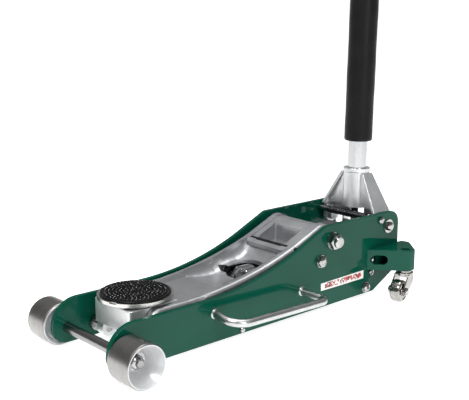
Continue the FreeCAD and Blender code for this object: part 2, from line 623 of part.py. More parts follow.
def lift_arm():
    """A cast channel: two rails, a floor in front, a bowl open to the ram, and a bridge."""
    rails = slab(rail_face(), RAIL_FOOT, RAIL_OUT)
    top_line = [e for e in rails.Edges if abs(e.BoundBox.YMin - RAIL_OUT) < 0.01
                and e.BoundBox.YLength < 0.01 and e.BoundBox.ZMax > 75]
    rails = rails.makeFillet(6.0, top_line)
    rails = rails.cut(box(-133, -50, RAIL_FOOT - 1, RAIL_IN - 0.5, 30, 90))
    rails = [rails, mirrored(rails)]
    floor = slab(outline_xz((-133, 60.5), (-133, 68.0), (-205, 74.0), (-207, 64.5), (-133, 60.5)),
                 -RAIL_IN, RAIL_IN)
    bowl = slab(outline_xz(
        (-204, 64.5), (-204, 84.0), (-262, 92.0), (-341, 116.0), (-341, 84.0), (-337, 80.5),
        (-272, 80.5), (-265, 62.0), (-235, 62.5), (-204, 64.5)), -RAIL_IN, RAIL_IN)
    bowl = bowl.cut(bowl_space())
    hole_front, hole_rear, hole_y = BOWL_HOLE
    hole = box(hole_front, hole_rear, -hole_y, hole_y, 50, 130)
    hole = hole.makeFillet(18.0, [e for e in hole.Edges if e.BoundBox.ZLength > 30])
    bowl = bowl.cut(hole)
    bridge = slab(outline_xz(
        (-340, 102.0), (-338, 110.0), (-344, 114.0), (-350, 116.3), (-408, 141.0),
        (-418, 142.5), (-440, 120), (-418, 103), (-400, 102.0), (-340, 102.0)),
        -RAIL_IN, RAIL_IN)
    hub = rod_y(ARM_PIVOT, 17.0, -RAIL_IN, RAIL_IN)
    inner = joined(floor, bowl, bridge, hub)
    sections = []
    for x, top in ((-132.9, 76.0), (-205, 82.5), (-270, 94.5), (-338.0, 112.0)):
        corners = [(-RAIL_IN - 0.6, top + 6), (RAIL_IN + 0.6, top + 6),
                   (RAIL_FOOT + 1.0, top - 34), (-RAIL_FOOT - 1.0, top - 34)]
        ring = [V(x, y, z) for y, z in corners]
        sections.append(Part.makePolygon(ring + ring[:1]))
    trough = Part.makeLoft(sections, True, True).cut(inner)
    arm = joined(rails[0], rails[1], inner).cut(trough)
    pocket = box(-393.5, -354, -32, 32, 106.0, 150)
    pocket = pocket.makeFillet(3.0, [e for e in pocket.Edges if e.BoundBox.ZLength > 30])
    slot = box(-356, -344.5, -30, 30, 108.0, 150)
    arm = arm.cut(pocket).cut(slot)
    arm = arm.cut(rod_y(ARM_PIVOT, 10.0 + RUNNING_GAP, -70, 70))
    arm = arm.cut(rod_y(CROSS_ROD, 3.8 + FIT_GAP, -70, 70))
    for side in (LEFT, RIGHT):
        arm = arm.cut(rod_y(RAIL_HOLE, 4.0, side * 52, side * 70))
        arm = arm.cut(rod_y(LUG_PIN, 7.0 + FIT_GAP, side * 40, side * 61))
        arm = arm.cut(rod_y(SADDLE_PIVOT, 8.0 + FIT_GAP, side * 40, side * 61))
    return [arm]


def arm_cross_rod():
    rod = rod_y(CROSS_ROD, 3.8, -60.8, 60.8)
    return [rod.makeFillet(1.5, [e for e in rod.Edges if e.BoundBox.YLength < 0.01])]


def lug_pins():
    return both_sides(rod_y(LUG_PIN, 7.0, 34.4, RAIL_OUT + 0.5))


def saddle_pivot_pins():
    return both_sides(rod_y(SADDLE_PIVOT, 8.0, 31.0, RAIL_OUT + 0.5))


def link_rods():
    """The two parallel links that keep the saddle level."""
    bar = slab(hull_xz(LINK_REAR, 3.7, LINK_FRONT, 3.7), 61.3, 68.3)
    for centre in (LINK_REAR, LINK_FRONT):
        bar = bar.fuse(rod_y(centre, 12.0, 61.1, 68.5))
    for centre in (LINK_REAR, LINK_FRONT):
        bar = bar.cut(rod_y(centre, 6.0 + RUNNING_GAP, 60, 70))
    return both_sides(bar.removeSplitter())


# ---------------------------------------------------------------- saddle
def saddle_bracket():
    """The cast nose that carries the saddle, pivoted on the arm and held by the links."""
    block = box(-33, -118, -46, 46, 42, 78)
    uprights = [e for e in block.Edges if e.BoundBox.ZLength > 30 and e.BoundBox.XMin > -40]
    block = block.makeFillet(5.0, uprights)
    front_top = [e for e in block.Edges if abs(e.BoundBox.ZMin - 78) < 0.01
                 and e.BoundBox.XMin > -60]
    block = block.makeFillet(1.5, front_top)
    block = block.cut(box(-96, -120, -50, 50, 40, 62))
    hollow = box(-41, -125, -30, 30, 40, 68)
    boss = rod_z(SADDLE_X, 0, 60, 70, 20.0)
    lug = slab(hull_xz((-60, 55), 14, LINK_FRONT, 12.5), 31, 46)
    cheek = slab(hull_xz(SADDLE_PIVOT, 16, (-60, 56), 14), 31, 46)
    body = block.cut(hollow)
    body = joined(body, boss, lug, mirrored(lug), cheek, mirrored(cheek))
    body = body.cut(rod_z(SADDLE_X, 0, 50, 80, 12.0 + RUNNING_GAP))
    for side in (LEFT, RIGHT):
        body = body.cut(rod_y(SADDLE_PIVOT, 8.0 + RUNNING_GAP, side * 25, side * 50))
        body = body.cut(rod_y(LINK_FRONT, 6.0 + FIT_GAP, side * 25, side * 50))
    return [body]


def link_front_pins():
    return both_sides(rod_y(LINK_FRONT, 6.0, 31.5, PLATE_IN - 0.7))


def saddle_cup():
    """A steel dish with an upstanding rim, four rim lugs and a stem."""
    profile = [(57.0, 0), (SADDLE_FLOOR, 0), (SADDLE_FLOOR, PAD_R),
               (SADDLE_RIM, PAD_R + 0.3), (SADDLE_RIM, SADDLE_R), (82.2, SADDLE_R),
               (SADDLE_BOTTOM, SADDLE_R - 3), (SADDLE_BOTTOM, 22), (78.3, 22), (78.3, 12),
               (57.0, 12)]
    cup = revolved(profile, V(SADDLE_X, 0, 0), V(0, 0, 1))
    for turn in (20, 110, 200, 290):
        notch = box(PAD_R + 0.3, SADDLE_R + 1, -6, 6, 85.6, 90)
        notch.rotate(V(0, 0, 0), V(0, 0, 1), turn)
        notch.translate(V(SADDLE_X, 0, 0))
        cup = cup.cut(notch)
    return [cup]


def saddle_pad():
    pad = rod_z(SADDLE_X, 0, SADDLE_FLOOR + 0.05, PAD_TOP, PAD_R - 0.1)
    return [pad.makeFillet(1.5, [e for e in pad.Edges
                                 if abs(e.BoundBox.ZMin - PAD_TOP) < 0.01])]


def saddle_clip():
    ring = rod_z(SADDLE_X, 0, 58.0, 59.6, 15.5)
    return [ring.cut(rod_z(SADDLE_X, 0, 57, 61, 12.0 + FIT_GAP))]


# ---------------------------------------------------------------- yoke and handle
def yoke():
    """The cast handle socket on two legs, with the pump roller lugs behind its pivot."""
    xp, zp = YOKE_PIVOT
    tube = rod_z(xp, 0, SOCKET_LOW, SOCKET_TOP - 4, SOCKET_R)
    collar = rod_z(xp, 0, SOCKET_TOP - 8, SOCKET_TOP, SOCKET_R + 1.2)
    collar = collar.makeFillet(1.5, [e for e in collar.Edges if e.BoundBox.ZLength < 0.01])
    leg_low, leg_top = 143.5, 207.0
    web_points = [V(xp + 3, 0, leg_top), V(xp + 3, 24, leg_top), V(xp + 3, 59, leg_low + 2),
                  V(xp + 3, 0, leg_low + 4), V(xp + 3, 0, leg_top)]
    web = Part.Face(Part.makePolygon(web_points)).extrude(V(8, 0, 0))
    low = [V(xp - 22, 55.5, leg_low), V(xp + 22, 55.5, leg_low),
           V(xp + 22, 62.5, leg_low), V(xp - 22, 62.5, leg_low)]
    top = [V(xp - 13, 19.0, leg_top), V(xp + 13, 19.0, leg_top),
           V(xp + 13, 26.0, leg_top), V(xp - 13, 26.0, leg_top)]
    flange = Part.makeLoft([Part.makePolygon(low + low[:1]), Part.makePolygon(top + top[:1])],
                           True, True)
    flange = rounded(flange, 1.5, lambda e: e.BoundBox.ZLength > 40)
    cheek = slab(outline_xz(
        (xp - 15, zp), (xp - 21, leg_low + 1), (xp + 14, leg_low + 1), (xp + 15, zp),
        ((xp, zp - 15), (xp - 15, zp))), 55.5, 62.5)
    hub = rod_y(YOKE_PIVOT, 11.0, 47.0, 56.0)
    beam = box(xp - 22, xp - 6, 11.5, 56.0, zp + 11, zp + 25)
    lug_face = hull_xz(ROLLER, 6.5, (xp - 14, zp + 15), 7.5)
    lugs = [slab(lug_face, 11.5, 15.0), slab(lug_face, 31.0, 34.5)]
    left = [web, flange, cheek, hub, beam] + lugs
    body = joined(tube, collar, *(left + [mirrored(s) for s in left]))
    body = body.cut(rod_z(xp, 0, SOCKET_LOW - 20, SOCKET_TOP + 1, TUBE_R + RUNNING_GAP))
    body = body.cut(box(xp - 30, xp + 30, -11.4, 11.4, 90, SOCKET_LOW))
    for side in (LEFT, RIGHT):
        body = body.cut(rod_y(YOKE_PIVOT, 8.0 + RUNNING_GAP, side * 40, side * 70))
        body = body.cut(rod_y(ROLLER, 4.0 + FIT_GAP, side * 5, side * 40))
    return [leaned(body)]


def pump_rollers():
    roller = rod_y(ROLLER, ROLLER_R, 15.4, 30.6).cut(rod_y(ROLLER, 4.0 + RUNNING_GAP, 10, 40))
    return [leaned(s) for s in both_sides(roller)]


def roller_pins():
    return [leaned(s) for s in both_sides(rod_y(ROLLER, 4.0, 11.6, 35.5))]


def handle_lower_tube():
    tube = rod_z(YOKE_PIVOT[0], 0, SOCKET_LOW + 1, LOWER_TUBE_TOP, TUBE_R)
    tube = tube.cut(rod_z(YOKE_PIVOT[0], 0, SOCKET_LOW, LOWER_TUBE_TOP + 1, TUBE_BORE_R))
    return [leaned(tube)]


def handle_upper_tube():
    tube = rod_z(YOKE_PIVOT[0], 0, UPPER_TUBE_LOW, UPPER_TUBE_TOP, TUBE_BORE_R - FIT_GAP)
    tube = tube.cut(rod_z(YOKE_PIVOT[0], 0, UPPER_TUBE_LOW - 1, UPPER_TUBE_TOP + 1, 12.0))
    return [leaned(tube)]


def foam_sleeve():
    sleeve = rod_z(YOKE_PIVOT[0], 0, FOAM_LOW, FOAM_TOP, FOAM_R)
    sleeve = sleeve.makeFillet(3.0, [e for e in sleeve.Edges if e.BoundBox.ZLength < 0.01])
    bore = rod_z(YOKE_PIVOT[0], 0, FOAM_LOW - 1, FOAM_TOP + 1, TUBE_R + FIT_GAP)
    return [leaned(sleeve.cut(bore))]


def hand_grip():
    grip = rod_z(YOKE_PIVOT[0], 0, GRIP_LOW, GRIP_TOP, GRIP_R)
    grip = grip.makeFillet(3.0, [e for e in grip.Edges if e.BoundBox.ZLength < 0.01])
    bore = rod_z(YOKE_PIVOT[0], 0, GRIP_LOW - 1, UPPER_TUBE_TOP + 0.1, TUBE_BORE_R)
    return [leaned(grip.cut(bore))]


def release_coupler():
    """A plug in the handle's foot that turns the valve through a ball-shaped joint."""
    xp, zp = YOKE_PIVOT
    plug = rod_z(xp, 0, SOCKET_LOW + 2, SOCKET_LOW + 14, TUBE_BORE_R - 0.1)
    stem = rod_z(xp, 0, zp + 3.4, SOCKET_LOW + 3, 6.5)
    body = joined(plug, stem).cut(Part.makeSphere(6.3, V(xp, 0, zp)))
    return [leaned(body)]


def release_valve():
    """The release spindle: a screw in the block with a ball end at the yoke's pivot."""
    xp, zp = YOKE_PIVOT
    spindle = rod_z(xp, 0, 60, 84, 5.0)
    neck = rod_z(xp, 0, 83, zp, 3.5)
    collar = rod_z(xp, 0, 84.3, 88, 7.0)
    return [joined(spindle, neck, collar, Part.makeSphere(6.0, V(xp, 0, zp)))]


# ---------------------------------------------------------------- writing the parts
PARTS = {
    "side_plate_left": [side_plate(LEFT)],
    "side_plate_right": [side_plate(RIGHT)],
    "front_axle": front_axle(),
    "axle_nuts": axle_nuts(),
    "axle_washers": axle_washers(),
    "front_wheel_left": [front_wheel(LEFT)],
    "front_wheel_right": [front_wheel(RIGHT)],
    "arm_pivot_shaft": arm_pivot_shaft(),
    "arm_pivot_nuts": arm_pivot_nuts(),
    "arm_pivot_washers": arm_pivot_washers(),
    "arm_pivot_spacers": arm_pivot_spacers(),
    "link_anchor_bolts": link_anchor_bolts(),
    "yoke_pivot_bolts": yoke_pivot_bolts(),
    "yoke_pivot_washers": yoke_pivot_washers(),
    "yoke_stop_bar": yoke_stop_bar(),
    "yoke_return_spring": yoke_return_spring(),
    "chassis_bolts": chassis_bolts(),
    "front_tie_rod": front_tie_rod(),
    "side_handle_left": [side_handle(LEFT)],
    "side_handle_right": [side_handle(RIGHT)],
    "side_labels": side_labels(),
    "caster_bracket_left": [caster_bracket(LEFT)],
    "caster_bracket_right": [caster_bracket(RIGHT)],
    "caster_fork_left": [caster_fork(LEFT)],
    "caster_fork_right": [caster_fork(RIGHT)],
    "caster_wheel_left": [caster_wheel(LEFT)],
    "caster_wheel_right": [caster_wheel(RIGHT)],
    "caster_axle_left": [caster_axle(LEFT)],
    "caster_axle_right": [caster_axle(RIGHT)],
    "pump_block": pump_block(),
    "reservoir_tube": reservoir_tube(),
    "ram_cylinder": ram_cylinder(),
    "gland_nut": gland_nut(),
    "oil_filler_plug": oil_filler_plug(),
    "pump_springs": pump_springs(),
    "pump_plungers": pump_plungers(),
    "ram_rod": ram_rod(),
    "crosshead": crosshead(),
    "crosshead_pin": crosshead_pin(),
    "drag_links": drag_links(),
    "lift_arm": lift_arm(),
    "arm_cross_rod": arm_cross_rod(),
    "lug_pins": lug_pins(),
    "saddle_pivot_pins": saddle_pivot_pins(),
    "link_rods": link_rods(),
    "saddle_bracket": saddle_bracket(),
    "link_front_pins": link_front_pins(),
    "saddle_cup": saddle_cup(),
    "saddle_pad": saddle_pad(),
    "saddle_clip": saddle_clip(),
    "yoke": yoke(),
    "pump_rollers": pump_rollers(),
    "roller_pins": roller_pins(),
    "handle_lower_tube": handle_lower_tube(),
    "handle_upper_tube": handle_upper_tube(),
    "foam_sleeve": foam_sleeve(),
    "hand_grip": hand_grip(),
    "release_coupler": release_coupler(),
    "release_valve": release_valve(),
}

os.makedirs("parts", exist_ok=True)
for name, shapes in PARTS.items():
    solids = [solid for shape in shapes for solid in shape.Solids]
    if not all(solid.isValid() for solid in solids) or len(solids) < len(shapes):
        print("WARNING", name, "has a bad solid")
    part = solids[0] if len(solids) == 1 else Part.makeCompound(solids)
    part.translate(V(ORIGIN_SHIFT, 0, 0))
    part.exportStep("parts/" + name + ".step")
    print(name, len(solids), "solids", round(sum(s.Volume for s in solids) / 1000, 2), "cm3")
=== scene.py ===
"""Looks of the trolley jack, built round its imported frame."""
import json
from math import cos, pi, radians, sin

import bmesh
import bpy
from mathutils import Matrix, Vector


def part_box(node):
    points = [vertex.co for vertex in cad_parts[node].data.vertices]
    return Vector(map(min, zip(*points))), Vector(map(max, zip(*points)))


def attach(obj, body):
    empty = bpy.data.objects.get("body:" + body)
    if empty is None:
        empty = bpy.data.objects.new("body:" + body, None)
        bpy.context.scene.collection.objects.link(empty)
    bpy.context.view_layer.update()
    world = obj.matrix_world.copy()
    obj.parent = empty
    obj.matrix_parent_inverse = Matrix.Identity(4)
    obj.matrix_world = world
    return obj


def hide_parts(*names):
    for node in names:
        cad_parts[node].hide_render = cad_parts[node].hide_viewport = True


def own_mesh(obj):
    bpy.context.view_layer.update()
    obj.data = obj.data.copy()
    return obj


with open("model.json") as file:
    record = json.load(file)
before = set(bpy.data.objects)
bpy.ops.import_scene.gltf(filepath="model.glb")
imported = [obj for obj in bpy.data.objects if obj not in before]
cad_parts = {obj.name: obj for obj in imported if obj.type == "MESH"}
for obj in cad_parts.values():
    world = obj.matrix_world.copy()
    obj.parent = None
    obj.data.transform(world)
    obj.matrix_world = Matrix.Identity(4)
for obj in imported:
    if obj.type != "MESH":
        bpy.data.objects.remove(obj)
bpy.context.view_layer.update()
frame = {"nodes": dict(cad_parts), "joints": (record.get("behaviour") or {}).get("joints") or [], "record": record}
nodes = frame["nodes"]
MM = 0.001
AXIS_R = 0.5 * MM          # radius that closes the pad at its axis
GRIP_AXIS_R = 0.4 * MM     # the same for the hand grip


# ---------------------------------------------------------------- places read from the frame
def middle(node):
    """The middle of a CAD node's box."""
    low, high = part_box(node)
    return (low + high) / 2


axle = middle("front_axle")
pad_low, pad_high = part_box("saddle_pad")
saddle = middle("saddle_pad")
handle_joint = next(j for j in frame["joints"] if j["name"] == "handle_twist")
handle_axis = Vector(handle_joint["axis"]).normalized()
handle_foot = Vector(handle_joint["pos_m"])


# ---------------------------------------------------------------- camera, floor and light
CAMERA_FROM_AXLE = Vector((0.6259, 1.0111, 0.4950))
CAMERA_PITCH, CAMERA_YAW = radians(12.417), radians(48.447)
LENS_MM, SENSOR_MM = 66.9, 36.0
CLIP_END = 100
WORLD_STRENGTH = 1.05
FLOOR_SIZE = 60
FLOOR_GREY, FLOOR_GLOW = 0.82, 0.80


def make_camera():
    data = bpy.data.cameras.new("camera")
    data.lens, data.sensor_width = LENS_MM, SENSOR_MM
    data.clip_end = CLIP_END
    camera = bpy.data.objects.new("camera", data)
    bpy.context.scene.collection.objects.link(camera)
    forward = Vector((-cos(CAMERA_YAW) * cos(CAMERA_PITCH), -sin(CAMERA_YAW) * cos(CAMERA_PITCH),
                      -sin(CAMERA_PITCH)))
    camera.rotation_euler = forward.to_track_quat("-Z", "Y").to_euler()
    camera.location = Vector((axle.x, 0, 0)) + CAMERA_FROM_AXLE
    bpy.context.scene.camera = camera


def area_light(name, place, target, width, height, watts):
    data = bpy.data.lights.new(name, "AREA")
    data.shape, data.size, data.size_y, data.energy = "RECTANGLE", width, height, watts
    light = bpy.data.objects.new(name, data)
    bpy.context.scene.collection.objects.link(light)
    light.location = place
    light.rotation_euler = (Vector(target) - Vector(place)).to_track_quat("-Z", "Y").to_euler()


def make_light():
    """A room that is white where the camera looks and dimmer round the sides, with soft lamps."""
    world = bpy.data.worlds.new("studio")
    bpy.context.scene.world = world
    world.use_nodes = True
    tree = world.node_tree
    x, y, z = split(tree, tree.nodes.new("ShaderNodeTexCoord").outputs["Generated"])[:3]
    ahead = math(tree, "ADD", math(tree, "MULTIPLY", x, -cos(CAMERA_YAW)),
                 math(tree, "MULTIPLY", y, -sin(CAMERA_YAW)))
    backdrop = ramp(tree, z, (0.0, 1.0), (0.05, 0.95), (0.14, 0.34), (0.42, 0.20), (0.70, 0.34),
                    (1.0, 0.75))
    sides = ramp(tree, z, (0.0, 0.45), (0.10, 0.24), (0.42, 0.16), (0.70, 0.30), (1.0, 0.75))
    sky = mixed(tree, ramp(tree, ahead, (0.50, 0.0), (0.80, 1.0)), sides, backdrop)
    background = tree.nodes["Background"]
    tree.links.new(sky, background.inputs["Color"])
    background.inputs["Strength"].default_value = WORLD_STRENGTH
    area_light("key", (1.5, 0.55, 2.1), (0, 0, 0.1), 0.5, 0.5, 34)
    area_light("overhead", (-0.5, -0.3, 2.4), (0, 0, 0.1), 1.4, 1.4, 20)
    area_light("strip", (0.3, 1.9, 1.3), (-0.25, 0, 0.5), 0.35, 1.8, 18)


def make_floor():
    bpy.ops.mesh.primitive_plane_add(size=FLOOR_SIZE, location=(0, 0, 0))
    floor = bpy.context.object
    floor.name = "studio_floor"
    material, tree, shader = blank_material("studio_floor")
    shader.inputs["Base Color"].default_value = (FLOOR_GREY, FLOOR_GREY, FLOOR_GREY, 1)
    shader.inputs["Roughness"].default_value = 0.9
    shader.inputs["Specular IOR Level"].default_value = 0.0
    shader.inputs["Emission Color"].default_value = (1, 1, 1, 1)
    shader.inputs["Emission Strength"].default_value = FLOOR_GLOW
    floor.data.materials.append(material)


# ---------------------------------------------------------------- material helpers
def blank_material(name):
    """A new material, its node tree and its Principled shader."""
    material = bpy.data.materials.new(name)
    material.use_nodes = True
    return material, material.node_tree, material.node_tree.nodes["Principled BSDF"]


def at_point(tree, centre=(0, 0, 0), stretch=(1, 1, 1)):
    """Coordinates in the shared frame, in metres about a centre, stretched per axis."""
    coords = tree.nodes.new("ShaderNodeTexCoord")
    shift = tree.nodes.new("ShaderNodeVectorMath")
    shift.operation = "SUBTRACT"
    shift.inputs[1].default_value = centre
    scale = tree.nodes.new("ShaderNodeVectorMath")
    scale.operation = "MULTIPLY"
    scale.inputs[1].default_value = stretch
    tree.links.new(coords.outputs["Object"], shift.inputs[0])
    tree.links.new(shift.outputs[0], scale.inputs[0])
    return scale.outputs[0]


def noise(tree, vector, scale, detail=3.0, roughness=0.55):
    texture = tree.nodes.new("ShaderNodeTexNoise")
    texture.inputs["Scale"].default_value = scale
    texture.inputs["Detail"].default_value = detail
    texture.inputs["Roughness"].default_value = roughness
    tree.links.new(vector, texture.inputs["Vector"])
    return texture.outputs["Fac"]


def ramp(tree, factor, *stops):
    """A colour ramp through (position, colour or grey) stops."""
    node = tree.nodes.new("ShaderNodeValToRGB")
    elements = node.color_ramp.elements
    while len(elements) < len(stops):
        elements.new(0.5)
    for element, (position, colour) in zip(elements, stops):
        rgb = (colour,) * 3 if isinstance(colour, float) else colour
        element.position, element.color = position, (*rgb, 1)
    tree.links.new(factor, node.inputs["Fac"])
    return node.outputs["Color"]


def math(tree, operation, a, b=None):
    """A math node's result, from sockets or plain numbers."""
    node = tree.nodes.new("ShaderNodeMath")
    node.operation = operation
    for socket, value in zip(node.inputs, (a, b)):
        if isinstance(value, (int, float)):
            socket.default_value = value
        elif value is not None:
            tree.links.new(value, socket)
    return node.outputs[0]


def bump(tree, shader, height, strength, distance, under=None):
    """Adds a bump to the shader, over another bump if one is given."""
    node = tree.nodes.new("ShaderNodeBump")
    node.inputs["Strength"].default_value = strength
    node.inputs["Distance"].default_value = distance
    tree.links.new(height, node.inputs["Height"])
    if under:
        tree.links.new(under, node.inputs["Normal"])
    tree.links.new(node.outputs[0], shader.inputs["Normal"])
    return node.outputs[0]


def mixed(tree, factor, low, high):
    """Two colours mixed by a factor."""
    node = tree.nodes.new("ShaderNodeMix")
    node.data_type = "RGBA"
    colour_sockets = [s for s in node.inputs if s.type == "RGBA"]
    for socket, value in zip(colour_sockets, (low, high)):
        if isinstance(value, tuple):
            socket.default_value = (*value, 1)
        else:
            tree.links.new(value, socket)
    tree.links.new(factor, node.inputs["Factor"])
    return next(s for s in node.outputs if s.type == "RGBA")


def split(tree, vector):
    node = tree.nodes.new("ShaderNodeSeparateXYZ")
    tree.links.new(vector, node.inputs[0])
    return node.outputs


# ---------------------------------------------------------------- materials
def green_paint():
    """Dark green gloss paint with faint orange peel and a few specks of dust."""
    material, tree, shader = blank_material("green_paint")
    place = at_point(tree)
    cloud = noise(tree, place, 6.0, 2.0)
    colour = ramp(tree, cloud, (0.35, (0.0010, 0.056, 0.034)), (0.65, (0.0016, 0.068, 0.042)))
    dust = ramp(tree, noise(tree, place, 700.0, 1.0), (0.74, 0.0), (0.80, 0.35))
    tree.links.new(mixed(tree, dust, colour, (0.06, 0.20, 0.15)), shader.inputs["Base Color"])
    rough = ramp(tree, noise(tree, place, 60.0, 4.0), (0.4, 0.35), (0.7, 0.45))
    tree.links.new(rough, shader.inputs["Roughness"])
    shader.inputs["Specular IOR Level"].default_value = 0.0
    shader.inputs["Coat Weight"].default_value = 0.40
    shader.inputs["Coat Roughness"].default_value = 0.03
    peel = bump(tree, shader, noise(tree, place, 420.0, 2.0), 0.03, 0.0003)
    tree.links.new(peel, shader.inputs["Coat Normal"])
    return material


def cast_aluminium(name, dark, light, rough_low, rough_high, grain=0.22):
    """Satin cast aluminium: fine grain, soft clouding and small pits."""
    material, tree, shader = blank_material(name)
    place = at_point(tree)
    cloud = noise(tree, place, 28.0, 5.0, 0.6)
    tree.links.new(ramp(tree, cloud, (0.3, dark), (0.7, light)), shader.inputs["Base Color"])
    tree.links.new(ramp(tree, noise(tree, place, 90.0, 4.0), (0.3, rough_low), (0.7, rough_high)),
                   shader.inputs["Roughness"])
    shader.inputs["Metallic"].default_value = 0.82
    first = bump(tree, shader, noise(tree, place, 1300.0, 2.0), grain, 0.0003)
    bump(tree, shader, noise(tree, place, 140.0, 3.0), 0.10, 0.0006, first)
    return material


RING_PITCH = 0.35 * MM


def ringed_metal(name, centre, axis, dark, light, rough):
    """Metal turned on a lathe: fine rings about an axis, along it and out from it."""
    material, tree, shader = blank_material(name)
    place = at_point(tree, centre)
    parts = split(tree, place)
    across = [parts[i] for i in range(3) if "XYZ"[i] != axis]
    along = parts["XYZ".index(axis)]
    radius = math(tree, "SQRT", math(tree, "ADD", math(tree, "MULTIPLY", across[0], across[0]),
                                     math(tree, "MULTIPLY", across[1], across[1])))
    combine = tree.nodes.new("ShaderNodeCombineXYZ")
    tree.links.new(along, combine.inputs[0])
    tree.links.new(radius, combine.inputs[1])
    lines = noise(tree, combine.outputs[0], 1.0 / RING_PITCH, 2.0, 0.6)
    broad = noise(tree, combine.outputs[0], 120.0, 3.0)
    cloud = noise(tree, place, 40.0, 4.0)
    tone = math(tree, "ADD", math(tree, "MULTIPLY", broad, 0.3), math(tree, "MULTIPLY", cloud, 0.7))
    tree.links.new(ramp(tree, tone, (0.35, dark), (0.62, light)), shader.inputs["Base Color"])
    tree.links.new(ramp(tree, lines, (0.3, rough * 0.8), (0.7, rough * 1.25)),
                   shader.inputs["Roughness"])
    shader.inputs["Metallic"].default_value = 1.0
    bump(tree, shader, lines, 0.12, 0.0001)
    return material


DISH_RADIUS = 30.9 * MM
DISH_DULLING = 0.75     # how much of the metal look is taken away inside the dish


def wheel_steel():
    """Turned grey tread, with pale, less metallic dishes inside both faces of the wheel."""
    centre = tuple(axle)
    material = ringed_metal("wheel_steel", centre, "Y", (0.25, 0.245, 0.235),
                            (0.32, 0.315, 0.305), 0.30)
    tree = material.node_tree
    shader = tree.nodes["Principled BSDF"]
    parts = split(tree, at_point(tree, centre))
    radius = math(tree, "SQRT", math(tree, "ADD", math(tree, "MULTIPLY", parts[0], parts[0]),
                                     math(tree, "MULTIPLY", parts[2], parts[2])))
    dish = math(tree, "LESS_THAN", radius, DISH_RADIUS)
    tree.links.new(mixed(tree, dish, shader.inputs["Base Color"].links[0].from_socket,
                         (0.59, 0.60, 0.61)), shader.inputs["Base Color"])
    tree.links.new(math(tree, "SUBTRACT", 1.0, math(tree, "MULTIPLY", dish, DISH_DULLING)),
                   shader.inputs["Metallic"])
    return material


def plain_metal(name, dark, light, rough, stretch=(1, 1, 1), scratch=0.06, scale=60.0):
    """Plated or ground metal with drawn-out marks and faint smudges."""
    material, tree, shader = blank_material(name)
    place = at_point(tree, stretch=stretch)
    cloud = noise(tree, place, scale, 4.0)
    tree.links.new(ramp(tree, cloud, (0.3, dark), (0.7, light)), shader.inputs["Base Color"])
    smudge = noise(tree, at_point(tree), 110.0, 5.0)
    tree.links.new(ramp(tree, smudge, (0.3, rough * 0.88), (0.7, rough * 1.15)),
                   shader.inputs["Roughness"])
    shader.inputs["Metallic"].default_value = 1.0
    bump(tree, shader, noise(tree, place, scale * 12, 3.0), scratch, 0.0002)
    return material


def soft_black(name, dark, light, rough, grain_scale, strength, distance, shine):
    """Rubber or foam: near black, matte, with a fine skin."""
    material, tree, shader = blank_material(name)
    shader.inputs["Specular IOR Level"].default_value = shine
    place = at_point(tree)
    tree.links.new(ramp(tree, noise(tree, place, 22.0, 4.0), (0.3, dark), (0.7, light)),
                   shader.inputs["Base Color"])
    tree.links.new(ramp(tree, noise(tree, place, 160.0, 3.0), (0.3, rough - 0.07),
                        (0.7, rough + 0.07)), shader.inputs["Roughness"])
    first = bump(tree, shader, noise(tree, place, grain_scale, 3.0, 0.7), strength, distance)
    bump(tree, shader, noise(tree, place, grain_scale / 9, 2.0), strength * 0.4, distance * 3,
         first)
    return material


NUB_HIGHLIGHT_ABOVE = 0.7 * MM     # height over the pad's rim from which the nub tips carry painted highlights


def pad_rubber():
    """The pad's black rubber, with painted highlights: pale grey on the tips of some nubs, where glints of light
    would be.
    """
    material = soft_black("pad_rubber", (0.003, 0.003, 0.0035), (0.007, 0.007, 0.0075), 0.30, 900.0,
                          0.08, 0.0002, 0.12)
    tree = material.node_tree
    shader = tree.nodes["Principled BSDF"]
    place = at_point(tree, (saddle.x, saddle.y, pad_high.z))
    # painted highlight: random patches of the nub tips are coloured pale grey to stand in for glints of light
    glint_patches = ramp(tree, noise(tree, place, 330.0, 2.0), (0.46, 0.0), (0.60, 1.0))
    tip = math(tree, "GREATER_THAN", split(tree, place)["Z"], NUB_HIGHLIGHT_ABOVE)
    tree.links.new(mixed(tree, math(tree, "MULTIPLY", tip, glint_patches),
                         shader.inputs["Base Color"].links[0].from_socket, (0.45, 0.45, 0.46)),
                   shader.inputs["Base Color"])
    return material


LABEL_SLANT = 0.35
BLOCKS_ALONG, BLOCKS_UP = 330.0, 420.0     # print blocks per metre
PRINT_HALF_HEIGHT = 0.0046                 # metres, as are the next two
PRINT_START, PRINT_END = 0.006, 0.098
PRINT_SHARE = 0.66                         # share of the blocks that are inked
CHARCOAL = (0.02, 0.03, 0.028)


